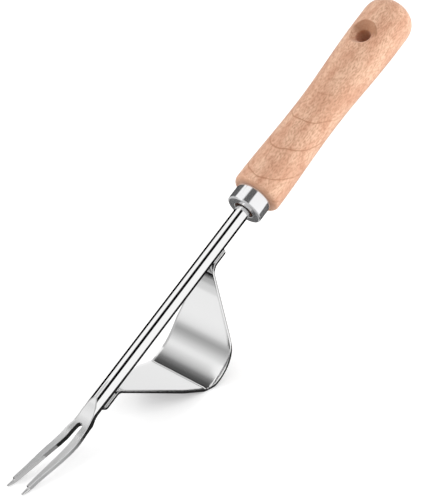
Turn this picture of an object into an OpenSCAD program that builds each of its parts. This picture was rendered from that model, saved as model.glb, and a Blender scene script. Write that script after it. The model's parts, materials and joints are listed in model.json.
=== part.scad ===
// Hand weeder: a two-tine fork on a round steel rod, with a bent sheet-steel fulcrum
// welded under the rod and a turned beech handle behind a pressed ferrule.
//
// Every piece is drawn along the rod: X runs from the tine points to the butt of the
// handle, Z is the upper side of the tool and the rod's axis is y = z = 0. stance()
// then stands the whole tool on its tines and on the belly of its fulcrum.

/* [Rod and tang] */
// Diameter of the rod
rod_d = 8; // [6:0.5:8]
// Distance from the tine points to where the rod is round
rod_start = 57; // [52:1:58]
// Diameter of the tang inside the handle
tang_d = 6; // [4:0.5:6]
// Length of the tang
tang_len = 50; // [40:1:60]

/* [Fork] */
// Slope of the tines against the rod's axis, in degrees
tine_slope = 17.5; // [12:0.5:20]
// Height of the blade's middle above the rod's axis at the tine points
tip_rise = 10.5; // [9:0.5:12]
// Thickness of the blade
blade_t = 2.8; // [2:0.1:3.2]
// Widest width of the blade
blade_w = 12.2; // [11:0.1:14]
// Distance between the two tine points
tip_gap = 10.4; // [9:0.1:10.6]
// Distance from the tine points to the root of the slot
slot_root = 45.5; // [42:0.5:46]
// Width of the slot at its root
slot_root_w = 3.6; // [3:0.1:4]
// Width of the slot where the tines begin to taper to a point
slot_mouth_w = 7.2; // [6:0.1:7.6]
// Length of the ground point of a tine
point_len = 6; // [4:0.5:8]

/* [Fulcrum] */
// Thickness of the sheet
sheet_t = 1.5; // [1:0.1:2]
// Radius of the curved belly, at the middle of the sheet
belly_r = 20.6; // [19:0.1:22]
// Distance from the tine points to the centre of the belly's curve
belly_x = 112.2; // [108:0.2:116]
// Depth of the belly below the rod's axis, at the middle of the sheet
belly_drop = 46; // [42:0.5:50]
// Angle of the belly's surface where the crease ends it, in degrees
crease_angle = 25; // [15:1:35]
// Slope of the wing on the handle's side, in degrees
rear_slope = 58.4; // [54:0.2:62]
// Distance from the tine points to the bend at the front tab
front_bend_x = 70; // [68:0.5:74]
// Widest width of the fulcrum, across the belly
fulcrum_w = 40; // [36:0.2:46]
// Width of the fulcrum at its crease
crease_w = 37; // [35:0.2:46]
// Radius of the outline where the wings turn into the belly
outline_r = 30; // [25:1:36]
// Width of the tabs that are welded to the rod
tab_w = 5.4; // [5:0.1:8]
// Length of the flat of each tab
tab_len = 10; // [8:1:12]
// Inside radius of the bends at the tabs
bend_r = 2; // [1:0.5:3]

/* [Ferrule] */
// Outside diameter of the ferrule
ferrule_d = 19.8; // [18:0.2:21]
// Length of the ferrule
ferrule_len = 10; // [8:0.5:12]
// Wall of the ferrule
ferrule_t = 1.2; // [0.8:0.1:1.6]
// Hole in the ferrule's front face, around the rod
ferrule_hole_d = 11; // [9:0.2:12]
// Radius on the ferrule's front rim
ferrule_edge_r = 1; // [0.5:0.1:1]

/* [Handle] */
// Distance from the tine points to the handle's front face
handle_x = 193; // [190:1:198]
// Length of the handle, without its tenon
handle_len = 134.5; // [125:0.5:140]
// Diameter at the front rim
rim_d = 26.4; // [25:0.2:28]
// Diameter at the waist
waist_d = 24; // [22:0.2:25]
// Diameter of the swell near the butt
swell_d = 27.8; // [26:0.2:29]
// Radius of the front rim
rim_r = 2.6; // [1:0.2:3]
// Length of the domed butt
dome_len = 12.5; // [10:0.5:14]
// How square the dome is: 2 is an ellipse
dome_power = 2.5; // [2:0.1:3]

/* [Hanging hole] */
// Diameter of the hole
hang_d = 8; // [6:0.5:9]
// Distance from the butt to the hole's axis
hang_inset = 29.5; // [27:0.5:34]
// Diameter of each countersink, on the handle's surface
sink_d = 16.4; // [14:0.2:20]

/* [Hidden] */
$fn = 72;
rod_r = rod_d / 2;
eps = 0.01;

// The blade, seen from the side: straight tines, one easy bend, then the neck.
blade_bend_r = 34;
neck_slope = 3;
bend_start_x = 30;
blade_steps = 12;
neck_end_x = 47;
slope_z = function(x) tip_rise - x * tan(tine_slope);
bend_c = [bend_start_x + blade_bend_r * sin(tine_slope),
          slope_z(bend_start_x) + blade_bend_r * cos(tine_slope)];
bend_end = [bend_c[0] - blade_bend_r * sin(neck_slope), bend_c[1] - blade_bend_r * cos(neck_slope)];
neck_end = [neck_end_x, bend_end[1] - (neck_end_x - bend_end[0]) * tan(neck_slope)];

// The middle line of the blade shifted by h along its own normal.
function blade_line(h) = concat(
    [[0 + h * sin(tine_slope), slope_z(0) + h * cos(tine_slope)]],
    [for (i = [0:blade_steps]) let(a = tine_slope + (neck_slope - tine_slope) * i / blade_steps)
        [bend_c[0] - (blade_bend_r - h) * sin(a), bend_c[1] - (blade_bend_r - h) * cos(a)]],
    [[neck_end[0] + h * sin(neck_slope), neck_end[1] + h * cos(neck_slope)]]);
function reversed(list) = [for (i = [len(list) - 1:-1:0]) list[i]];

// Where the ground point of a tine meets the underside, its lowest place on the ground.
foot = [point_len / 2, slope_z(point_len / 2) - blade_t / 2 / cos(tine_slope)];

// The fulcrum, seen from the side: tab, bend, front wing, crease, belly, rear wing, bend, tab.
tab_z = -rod_r - sheet_t / 2;
tab_bend_r = bend_r + sheet_t / 2;
belly_c = [belly_x, belly_r - belly_drop];
crease = [belly_c[0] - belly_r * sin(crease_angle), belly_c[1] - belly_r * cos(crease_angle)];
front_slope = atan2(tab_z - crease[1], crease[0] - front_bend_x);
rear_top = [belly_c[0] + belly_r * sin(rear_slope), belly_c[1] - belly_r * cos(rear_slope)];
rear_bend_x = rear_top[0] + (tab_z - rear_top[1]) / tan(rear_slope);
front_c = [front_bend_x - tab_bend_r * tan(front_slope / 2), tab_z - tab_bend_r];
rear_c = [rear_bend_x + tab_bend_r * tan(rear_slope / 2), tab_z - tab_bend_r];
front_tab_x = front_c[0] - tab_len;
rear_tab_x = rear_c[0] + tab_len;
arc_steps = 10;
belly_steps = 24;

// The sheet's middle line shifted by h towards the rod.
function front_corner(h) = [for (i = [0:arc_steps]) let(a = front_slope * i / arc_steps)
    [front_c[0] + (tab_bend_r + h) * sin(a), front_c[1] + (tab_bend_r + h) * cos(a)]];
function crease_point(h) = let(
    turn = (front_slope + crease_angle) / 2,
    reach = h / cos((front_slope - crease_angle) / 2))
    [crease[0] + reach * sin(turn), crease[1] + reach * cos(turn)];
function belly(h) = [for (i = [1:belly_steps])
    let(a = -crease_angle + (crease_angle + rear_slope) * i / belly_steps)
    [belly_c[0] + (belly_r - h) * sin(a), belly_c[1] - (belly_r - h) * cos(a)]];
function rear_corner(h) = [for (i = [arc_steps:-1:0]) let(a = rear_slope * i / arc_steps)
    [rear_c[0] - (tab_bend_r + h) * sin(a), rear_c[1] + (tab_bend_r + h) * cos(a)]];
function sheet_line(h) = concat([[front_tab_x, tab_z + h]], front_corner(h), [crease_point(h)],
    belly(h), rear_corner(h), [[rear_tab_x, tab_z + h]]);

// The fulcrum, seen from the front: half its width at the tabs, down the wings and at the belly.
flare = 25.2;
outline_top = -(belly_drop + sheet_t) + outline_r * sin(flare);
function half_outline() = concat([[tab_w / 2, 0], [tab_w / 2, wing_top]],
    [for (i = [0:arc_steps]) let(a = flare * (1 - i / arc_steps))
        [fulcrum_w / 2 - outline_r * (1 - cos(a)), outline_top - outline_r * (sin(flare) - sin(a))]],
    [[fulcrum_w / 2, -belly_drop - 5 * sheet_t]]);
wing_top = outline_top + (fulcrum_w / 2 - outline_r * (1 - cos(flare)) - tab_w / 2) / tan(flare);

// The stance: the tool leans until its fulcrum's underside touches the ground behind the tines.
lean = max([for (p = belly(-sheet_t / 2)) atan2(foot[1] - p[1], p[0] - foot[0])]);
ground = foot[0] * sin(lean) + foot[1] * cos(lean);
tip_x = -tip_rise * sin(lean);
butt_steps = 18;
butt_x = max([for (p = butt_outline()) (handle_x + p[1]) * cos(lean) + p[0] * sin(lean)]);

ferrule_x = handle_x - ferrule_len;
tenon_d = ferrule_d - 2 * ferrule_t;
socket_d = rod_d + 0.6;
socket_end = handle_x + 10;
tang_end = socket_end + tang_len;
hang_x = handle_x + handle_len - hang_inset;
sink_rise = (sink_d - hang_d) / 2;
sink_z = swell_d / 2 - sink_rise;

module stance() {
    translate([-(tip_x + butt_x) / 2, 0, -ground]) rotate([0, -lean, 0]) children();
}

// A side view, drawn in X and Z, given a width across the tool.
module side_slab(outline, width) {
    translate([0, width / 2, 0]) rotate([90, 0, 0]) linear_extrude(width) polygon(outline);
}

module along_rod(from, length) {
    translate([from, 0, 0]) rotate([0, 90, 0]) linear_extrude(length) children();
}

// Blade outline seen from above, one half, from the neck to the tine point.
neck_w = 8.4;
root_w = 10.8;
function blade_plan() = let(w = blade_w / 2) [
    [neck_end_x + 4, neck_w / 2 - 0.1], [neck_end_x - 1, neck_w / 2 + 0.3], [42, root_w / 2],
    [36, w - 0.3], [28, w], [22, w], [14, w - 0.5],
    [point_len, tip_gap / 2 + 0.3], [0, tip_gap / 2]];

// What the grinding leaves between the point and the full blade, seen from the side.
tip_half_t = 0.3;
past_neck = 60;
past_blade = 30;
module tine_points() {
    span = point_len / 2;
    side_slab([
        [0, slope_z(0) - tip_half_t], [span, foot[1]], [past_neck, foot[1] - past_blade],
        [past_neck, past_blade], [span, slope_z(span) + blade_t], [0, slope_z(0) + tip_half_t]],
        blade_w + 2);
}

// The slot between the tines, one half, from its round root to past the tine points.
mid_slot_w = 5.9;
cut_h = 60;
function half_slot() = [
    [slot_root - slot_root_w / 2, slot_root_w / 2], [32, mid_slot_w / 2 - 0.5], [24, mid_slot_w / 2],
    [point_len, slot_mouth_w / 2], [0, tip_gap / 2 - tip_half_t], [-1, tip_gap / 2]];
module slot() {
    half = half_slot();
    translate([0, 0, -cut_h / 3]) linear_extrude(cut_h) {
        translate([half[0][0], 0]) circle(half[0][1]);
        polygon(concat(half, reversed([for (p = half) [p[0], -p[1]]])));
    }
}

module blade() {
    plan = blade_plan();
    difference() {
        intersection() {
            side_slab(concat(blade_line(blade_t / 2), reversed(blade_line(-blade_t / 2))), 2 * blade_w);
            translate([0, 0, -cut_h / 3]) linear_extrude(cut_h)
                polygon(concat(plan, reversed([for (p = plan) [p[0], -p[1]]])));
            tine_points();
        }
        slot();
    }
}

// The forged neck: the round rod drawn down into the flat blade.
module neck() {
    thick = blade_t - 0.1;
    hull() {
        translate([neck_end[0] - 1, -neck_w / 2, neck_end[1] - thick / 2]) cube([1, neck_w, thick]);
        along_rod(rod_start, 1) circle(rod_r, $fn = 32);
    }
}

module fork_shaft() {
    color("gainsboro") stance() {
        blade();
        neck();
        along_rod(rod_start + 0.5, socket_end - rod_start - 0.5) circle(rod_r);
        along_rod(socket_end - eps, tang_len + eps) circle(tang_d / 2);
    }
}

// The front wing's sides close in from the full width, past the crease, towards the tab.
side_slope = 0.25;
function plate_plan() = let(from = front_tab_x - 1) [
    [from, crease_w / 2 - side_slope * (crease[0] - from)],
    [crease[0] + (fulcrum_w - crease_w) / 2 / side_slope, fulcrum_w / 2],
    [rear_tab_x + 1, fulcrum_w / 2]];
module fulcrum_plate() {
    half = half_outline();
    plan = plate_plan();
    color("silver") stance() intersection() {
        side_slab(concat(sheet_line(sheet_t / 2), reversed(sheet_line(-sheet_t / 2))), fulcrum_w + 2);
        translate([front_tab_x - 1, 0, 0]) rotate([90, 0, 90])
            linear_extrude(rear_tab_x - front_tab_x + 2)
                polygon(concat(half, reversed([for (p = half) [-p[0], p[1]]])));
        translate([0, 0, -cut_h]) linear_extrude(cut_h)
            polygon(concat(plan, reversed([for (p = plan) [p[0], -p[1]]])));
    }
}

module ferrule() {
    outer = ferrule_d / 2;
    hole = ferrule_hole_d / 2;
    arc = [for (i = [0:8]) let(a = 90 * i / 8)
        [outer - ferrule_edge_r * (1 - sin(a)), ferrule_edge_r * (1 - cos(a))]];
    color("silver") stance() translate([ferrule_x, 0, 0]) rotate([0, 90, 0]) rotate_extrude()
        polygon(concat([[hole, 0]], arc, [[outer, ferrule_len], [outer - ferrule_t, ferrule_len],
            [outer - ferrule_t, ferrule_t], [hole, ferrule_t]]));
}

// Half the handle's outline: radius against distance from its front face.
function ease(a, b, t) = a + (b - a) * (1 - cos(180 * t)) / 2;
waist_at = 55;
swell_at = handle_len - dome_len - 8;
function butt_outline() = concat(
    [for (i = [0:butt_steps - 1]) let(a = 90 * i / butt_steps, power = 2 / dome_power)
        [swell_d / 2 * pow(cos(a), power), handle_len - dome_len * (1 - pow(sin(a), power))]],
    [[0, handle_len]]);
function handle_outline() = concat(
    [for (i = [0:8]) let(a = 90 * i / 8) [rim_d / 2 - rim_r * (1 - sin(a)), rim_r * (1 - cos(a))]],
    [for (i = [1:14]) let(t = i / 14) [ease(rim_d / 2, waist_d / 2, t), rim_r + (waist_at - rim_r) * t]],
    [for (i = [1:14]) let(t = i / 14)
        [ease(waist_d / 2, swell_d / 2, t), waist_at + (swell_at - waist_at) * t]],
    butt_outline());

module handle() {
    tenon = ferrule_len - ferrule_t;
    color("burlywood") stance() difference() {
        translate([handle_x, 0, 0]) rotate([0, 90, 0]) {
            rotate_extrude() polygon(concat([[0, 0]], handle_outline()));
            translate([0, 0, -tenon]) cylinder(h = tenon + eps, d = tenon_d);
        }
        along_rod(handle_x - tenon - eps, tang_end - handle_x + tenon + eps) circle(socket_d / 2);
        translate([hang_x, 0, -swell_d]) cylinder(h = 2 * swell_d, d = hang_d);
        for (side = [0, 180]) rotate([side, 0, 0]) translate([hang_x, 0, sink_z])
            cylinder(h = 2 * sink_rise, d1 = hang_d, d2 = hang_d + 4 * sink_rise);
    }
}

// A pair of fillet welds in the corners between the rod and a tab.
bead_out = 0.35;
bead_rise = 1.3;
bead_root = 1;
module weld_pair(from, length) {
    edge = tab_w / 2;
    bead = [[bead_root, -rod_r], [edge, -rod_r], [edge + bead_out, bead_rise - rod_r],
            [edge - bead_out, 1.5 * bead_rise - rod_r]];
    for (side = [0, 1]) mirror([0, side, 0]) difference() {
        translate([from, 0, 0]) rotate([90, 0, 90]) linear_extrude(length) polygon(bead);
        along_rod(from - 1, length + 2) circle(rod_r);
    }
}

weld_inset = 1;
module front_weld() {
    color("darkgray") stance() weld_pair(front_tab_x + weld_inset, tab_len - weld_inset);
}

module rear_weld() {
    color("darkgray") stance() weld_pair(rear_c[0], tab_len - weld_inset);
}

module tang_epoxy() {
    color("goldenrod") stance() difference() {
        along_rod(socket_end, tang_len) circle(socket_d / 2);
        along_rod(socket_end - 1, tang_len + 2) circle(tang_d / 2);
    }
}

fork_shaft();
fulcrum_plate();
ferrule();
handle();
front_weld();
rear_weld();
tang_epoxy();
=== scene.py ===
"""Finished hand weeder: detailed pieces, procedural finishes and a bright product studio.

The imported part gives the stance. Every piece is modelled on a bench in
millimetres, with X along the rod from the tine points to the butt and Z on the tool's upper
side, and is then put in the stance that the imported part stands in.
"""

from __future__ import annotations

import json
import logging
import math
from dataclasses import dataclass
from enum import Enum
from typing import Callable, Sequence

import bmesh
import bpy
from mathutils import Matrix, Vector

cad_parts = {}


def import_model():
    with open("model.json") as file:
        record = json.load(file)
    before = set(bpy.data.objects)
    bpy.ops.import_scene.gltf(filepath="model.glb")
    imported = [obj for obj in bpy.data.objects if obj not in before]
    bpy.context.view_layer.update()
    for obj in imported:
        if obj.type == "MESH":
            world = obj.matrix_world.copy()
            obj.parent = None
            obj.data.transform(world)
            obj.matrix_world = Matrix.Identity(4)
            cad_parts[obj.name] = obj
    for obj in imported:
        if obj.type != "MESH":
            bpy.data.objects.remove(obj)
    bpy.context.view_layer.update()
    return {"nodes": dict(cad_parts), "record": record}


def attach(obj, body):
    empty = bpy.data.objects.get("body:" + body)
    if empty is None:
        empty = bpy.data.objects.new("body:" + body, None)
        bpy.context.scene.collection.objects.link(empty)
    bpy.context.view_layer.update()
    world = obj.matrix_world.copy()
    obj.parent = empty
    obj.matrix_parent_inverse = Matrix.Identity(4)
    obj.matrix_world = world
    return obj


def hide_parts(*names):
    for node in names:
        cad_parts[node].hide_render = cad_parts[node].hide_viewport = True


log = logging.getLogger("hand_weeder")

MM = 0.001  # metres in a millimetre
DULL = "dull"  # the face attribute that marks where the bar is brushed
Point2 = tuple[float, float]
Colour = tuple[float, float, float]


# --------------------------------------------------------------------------------------
# Shapes in one plane
# --------------------------------------------------------------------------------------


def arc(centre: Point2, radius: float, start: float, end: float, steps: int) -> list[Point2]:
    """Points on an arc.

    Args:
        centre: the arc's centre.
        radius: its radius.
        start: the first angle in degrees, counted from the first axis.
        end: the last angle in degrees.
        steps: how many straight steps the arc is drawn in.

    Returns:
        The points from start to end, both ends included.
    """
    turns = [math.radians(start + (end - start) * i / steps) for i in range(steps + 1)]
    return [(centre[0] + radius * math.cos(t), centre[1] + radius * math.sin(t)) for t in turns]


def rounded(before: Point2, tip: Point2, after: Point2, steps: int) -> list[Point2]:
    """Points on a rounded corner.

    Args:
        before: where the round starts.
        tip: the corner that the round cuts off.
        after: where the round ends.
        steps: how many straight steps the round is drawn in.

    Returns:
        The points from before to after, both included.
    """
    turns = [i / steps for i in range(steps + 1)]
    return [
        tuple((1 - t) ** 2 * before[k] + 2 * t * (1 - t) * tip[k] + t**2 * after[k] for k in (0, 1))
        for t in turns
    ]


def step_from(start: Point2, heading: float, length: float) -> Point2:
    """The point at a length from start in a heading given in degrees."""
    turn = math.radians(heading)
    return start[0] + length * math.cos(turn), start[1] + length * math.sin(turn)


def spaced(start: Point2, end: Point2, steps: int) -> list[Point2]:
    """Points evenly spaced on a straight line, without its last point.

    Args:
        start: the line's first point.
        end: the line's last point, which is left out.
        steps: how many steps the line is cut into.

    Returns:
        The points.
    """
    return [
        (start[0] + (end[0] - start[0]) * i / steps, start[1] + (end[1] - start[1]) * i / steps)
        for i in range(steps)
    ]


def flowing(stations: Sequence[Sequence[float]], x: float) -> list[float]:
    """Reads a row of values at x from stations, along smooth curves through them.

    Args:
        stations: rows that start with their own x, in rising order.
        x: where to read.

    Returns:
        The values of the row without its x.
    """
    rows = list(stations)
    if x <= rows[0][0]:
        return list(rows[0][1:])
    if x >= rows[-1][0]:
        return list(rows[-1][1:])
    i = next(k for k in range(len(rows) - 1) if rows[k + 1][0] >= x)
    before, low, high, after = rows[max(i - 1, 0)], rows[i], rows[i + 1], rows[min(i + 2, len(rows) - 1)]
    span = high[0] - low[0]
    t = (x - low[0]) / span
    values = []
    for k in range(1, len(low)):
        leave = (high[k] - before[k]) / (high[0] - before[0]) * span
        arrive = (after[k] - low[k]) / (after[0] - low[0]) * span
        values.append(
            low[k] * (2 * t**3 - 3 * t**2 + 1)
            + leave * (t**3 - 2 * t**2 + t)
            + high[k] * (3 * t**2 - 2 * t**3)
            + arrive * (t**3 - t**2)
        )
    return values


def eased(start: Point2, end: Point2, steps: int) -> list[Point2]:
    """Points of a curve that runs level at both of its ends, without its first point.

    Args:
        start: the curve's first point, which is left out.
        end: the curve's last point.
        steps: how many steps the curve is cut into.

    Returns:
        The points.
    """
    return [
        (start[0] + (end[0] - start[0]) * t, start[1] + (end[1] - start[1]) * (1 - math.cos(math.pi * t)) / 2)
        for t in (i / steps for i in range(1, steps + 1))
    ]


# --------------------------------------------------------------------------------------
# The bench, where pieces are made and then put in their stance
# --------------------------------------------------------------------------------------


def smooth(mesh: bpy.types.Mesh, sharp: float) -> None:
    """Shades a mesh smooth, but for edges with a larger angle than sharp, in degrees."""
    mesh.shade_smooth()
    mesh.set_sharp_from_angle(angle=math.radians(sharp))


def new_object(bm: bmesh.types.BMesh, name: str) -> bpy.types.Object:
    """Makes an object of a mesh, which is freed, and links it to the scene."""
    mesh = bpy.data.meshes.new(name)
    bm.to_mesh(mesh)
    bm.free()
    made = bpy.data.objects.new(name, mesh)
    bpy.context.scene.collection.objects.link(made)
    return made


def next_row(bm: bmesh.types.BMesh, edges: list) -> tuple[list, list]:
    """Extrudes a row of edges in place, for its new vertices to be moved.

    Args:
        bm: the mesh.
        edges: the row's edges.

    Returns:
        The new vertices and the new row's edges.
    """
    grown = bmesh.ops.extrude_edge_only(bm, edges=edges)["geom"]
    verts = [g for g in grown if isinstance(g, bmesh.types.BMVert)]
    return verts, [g for g in grown if isinstance(g, bmesh.types.BMEdge)]


@dataclass
class Bench:
    """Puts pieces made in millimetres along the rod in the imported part's stance."""

    stance: Matrix

    @classmethod
    def from_record(cls, record: dict, hang_x: float) -> Bench:
        """Reads the stance off the hanging hole's mount.

        Args:
            record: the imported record.
            hang_x: distance in millimetres from the tine points to the hanging hole.

        Returns:
            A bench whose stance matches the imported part.
        """
        hole = next(m for m in record["mounts"] if m["name"] == "hang_hole")
        upper = Vector(hole["axis"]).normalized()
        along = Vector((upper.z, 0.0, -upper.x))
        left = upper.cross(along)
        turn = Matrix((along, left, upper)).transposed().to_4x4()
        origin = Vector(hole["pos_m"]) - along * hang_x * MM
        return cls(Matrix.Translation(origin) @ turn @ Matrix.Scale(MM, 4))

    def place(self, bm: bmesh.types.BMesh, name: str, sharp: float = 40.0) -> bpy.types.Object:
        """Turns a finished bench mesh into an object in the stance.

        Args:
            bm: the mesh, in millimetres; it is freed.
            name: the object's name.
            sharp: edges with a larger angle than this, in degrees, stay sharp.

        Returns:
            The object, at the origin, with its place in its mesh.
        """
        bmesh.ops.recalc_face_normals(bm, faces=bm.faces)
        bmesh.ops.transform(bm, matrix=self.stance, verts=bm.verts)
        piece = new_object(bm, name)
        smooth(piece.data, sharp)
        return piece

    def deliver(
        self, piece: bpy.types.Object, node: str, slot: str, material: bpy.types.Material
    ) -> None:
        """Dresses a piece, lets it stand for its CAD node and reports it.

        Args:
            piece: the finished object.
            node: the CAD node that it stands for.
            slot: the record's material slot; not used.
            material: the finish.
        """
        piece.data.materials.clear()
        piece.data.materials.append(material)
        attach(piece, "root")
        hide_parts(node)
        log.info("%s stands for %s with %d faces", piece.name, node, len(piece.data.polygons))


def settle(piece: bpy.types.Object, sharp: float = 40.0) -> None:
    """Bakes a piece's modifiers into its mesh.

    Args:
        piece: the object.
        sharp: edges with a larger angle than this, in degrees, stay sharp.
    """
    graph = bpy.context.evaluated_depsgraph_get()
    mesh = bpy.data.meshes.new_from_object(piece.evaluated_get(graph))
    piece.modifiers.clear()
    worn = piece.data
    piece.data = mesh
    bpy.data.meshes.remove(worn)
    smooth(mesh, sharp)


def cut(piece: bpy.types.Object, cutter: bpy.types.Object) -> None:
    """Cuts one object's shape out of another and throws the cutter away."""
    tool = piece.modifiers.new("cut", "BOOLEAN")
    tool.operation = "DIFFERENCE"
    tool.solver = "EXACT"
    tool.object = cutter
    settle(piece)
    worn = cutter.data
    bpy.data.objects.remove(cutter)
    bpy.data.meshes.remove(worn)


def soften(piece: bpy.types.Object, width: float, segments: int, angle: float) -> None:
    """Rounds the edges of an object.

    Args:
        piece: the object, in metres.
        width: the round's width in millimetres.
        segments: faces across the round.
        angle: only edges with a larger angle than this, in degrees, are rounded.
    """
    tool = piece.modifiers.new("soften", "BEVEL")
    tool.width = width * MM
    tool.segments = segments
    tool.limit_method = "ANGLE"
    tool.angle_limit = math.radians(angle)
    tool.profile = 0.5
    tool.use_clamp_overlap = True
    tool.harden_normals = False
    settle(piece)


def turned(outline: Sequence[Point2], steps: int) -> bmesh.types.BMesh:
    """Turns an outline about the X axis, as on a lathe.

    Args:
        outline: (x, radius) points; a closed ring has its first point again at its end.
        steps: faces round the turning.

    Returns:
        The turned mesh, with its poles closed.
    """
    bm = bmesh.new()
    verts = [bm.verts.new((x, 0.0, radius)) for x, radius in outline]
    edges = [bm.edges.new(pair) for pair in zip(verts, verts[1:])]
    bmesh.ops.spin(
        bm, geom=verts + edges, axis=(1, 0, 0), cent=(0, 0, 0), angle=math.tau, steps=steps, use_merge=True
    )
    bmesh.ops.remove_doubles(bm, verts=bm.verts, dist=1e-4)
    return bm


# --------------------------------------------------------------------------------------
# Shader arithmetic and finishes
# --------------------------------------------------------------------------------------


def operator(operation: str, swapped: bool = False) -> Callable[..., Value]:
    """Makes a method that adds a Math node for one operation on two values.

    Args:
        operation: the node's operation.
        swapped: whether the other value comes before self.

    Returns:
        The method.
    """

    def method(self: Value, other: Value | float = 0.0) -> Value:
        """Adds the node; an operation on one value does without the other."""
        first, second = (other, self) if swapped else (self, other)
        return self.graph.node("ShaderNodeMath", {"operation": operation}, {0: first, 1: second})

    return method


class Value:
    """A shader socket that takes part in Python arithmetic."""

    def __init__(self, graph: Graph, socket: bpy.types.NodeSocket) -> None:
        """Wraps a socket of a graph."""
        self.graph = graph
        self.socket = socket

    __add__ = __radd__ = operator("ADD")
    __sub__ = operator("SUBTRACT")
    __rsub__ = operator("SUBTRACT", swapped=True)
    __mul__ = __rmul__ = operator("MULTIPLY")
    __truediv__ = operator("DIVIDE")
    __mod__ = operator("MODULO")
    __pow__ = operator("POWER")
    __abs__ = operator("ABSOLUTE")
    fraction = operator("FRACT")
    bearing = operator("ARCTAN2")
    least = operator("MINIMUM")
    most = operator("MAXIMUM")


class Graph:
    """A node tree that is built by calls."""

    def __init__(self, tree: bpy.types.NodeTree) -> None:
        """Empties a node tree and takes it over."""
        self.tree = tree
        tree.nodes.clear()

    def node(
        self, kind: str, settings: dict | None = None, inputs: dict | None = None, output: int | str = 0
    ) -> Value:
        """Adds a node.

        Args:
            kind: the node's type.
            settings: its properties, or "stops" for a ramp's (place, colour) pairs.
            inputs: socket name or number to a value or a link.
            output: the socket to hand back.

        Returns:
            The node's output.
        """
        made = self.tree.nodes.new(kind)
        for name, value in (settings or {}).items():
            if name == "stops":
                ramp = made.color_ramp
                while len(ramp.elements) < len(value):
                    ramp.elements.new(1.0)
                for element, (place, colour) in zip(ramp.elements, value):
                    element.position = place
                    element.color = (*colour, 1.0)
            else:
                setattr(made, name, value)
        for name, value in (inputs or {}).items():
            socket = made.inputs[name]
            if isinstance(value, Value):
                self.tree.links.new(value.socket, socket)
            else:
                socket.default_value = value
        return Value(self, made.outputs[output]) if made.outputs else None

    def between(self, value: Value, low: float, high: float, start: float = 0.0, end: float = 1.0) -> Value:
        """Takes a value from the range low..high to start..end, smoothly and clamped."""
        return self.node(
            "ShaderNodeMapRange",
            {"interpolation_type": "SMOOTHSTEP", "clamp": True},
            {"Value": value, "From Min": low, "From Max": high, "To Min": start, "To Max": end},
        )

    def band(self, value: Value, edges: Sequence[float]) -> Value:
        """Rises from 0 to 1 between the first two of four edges and falls between the last two."""
        return self.between(value, *edges[:2]) * self.between(value, *edges[2:], 1.0, 0.0)

    def mix(self, factor: Value, first: Colour | Value, second: Colour | Value) -> Value:
        """Mixes two colours."""
        first, second = (c if isinstance(c, Value) else (*c, 1.0) for c in (first, second))
        return self.node(
            "ShaderNodeMix", {"data_type": "RGBA"}, {0: factor, 6: first, 7: second}, output=2
        )

    def noise(self, vector: Value, scale: float, detail: float = 2.0, rough: float = 0.5) -> Value:
        """Even, cloudy noise with values about one half."""
        return self.node(
            "ShaderNodeTexNoise",
            {"noise_dimensions": "3D"},
            {"Vector": vector, "Scale": scale, "Detail": detail, "Roughness": rough},
        )

    def split(self, vector: Value) -> list[Value]:
        """The three parts of a vector."""
        parts = self.node("ShaderNodeSeparateXYZ", {}, {0: vector}).socket.node
        return [Value(self, output) for output in parts.outputs]

    def stretch(self, vector: Value, scale: Sequence[float]) -> Value:
        """Scales coordinates."""
        return self.node(
            "ShaderNodeMapping", {"vector_type": "POINT"}, {"Vector": vector, "Scale": scale}
        )

    def cells(self, vector: Value, scale: float) -> Value:
        """Distance to the nearest of scattered points."""
        return self.node(
            "ShaderNodeTexVoronoi", {"feature": "F1"}, {"Vector": vector, "Scale": scale}, output="Distance"
        )

    def bump(self, height: Value, strength: float, deep: float) -> Value:
        """A surface that rises with a height, by deep millimetres."""
        return self.node(
            "ShaderNodeBump", {}, {"Strength": strength, "Distance": deep * MM, "Height": height}
        )

    def coat(self, inputs: dict) -> None:
        """Ends a material with a Principled shader."""
        shader = self.node("ShaderNodeBsdfPrincipled", {}, inputs)
        self.node("ShaderNodeOutputMaterial", {}, {"Surface": shader})

    def bench_place(self, bench: Bench) -> Value:
        """Object coordinates turned back to the bench: millimetres, X along the rod."""
        to_bench = bench.stance.inverted()
        place, turn, scale = to_bench.decompose()
        coordinates = self.node("ShaderNodeTexCoord", output="Object")
        return self.node(
            "ShaderNodeMapping",
            {"vector_type": "POINT"},
            {"Vector": coordinates, "Location": place, "Rotation": turn.to_euler(), "Scale": scale},
        )


def new_material(name: str) -> tuple[bpy.types.Material, Graph]:
    """A new material and its empty graph."""
    material = bpy.data.materials.new(name)
    material.use_nodes = True
    return material, Graph(material.node_tree)


class Grain(Enum):
    """Which way a finish's fine scratches run."""

    ALONG_ROD = (0.06, 2.2, 2.2)
    ROUND_ROD = (2.6, 0.10, 0.10)
    ACROSS_SHEET = (1.1, 0.05, 1.1)


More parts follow.
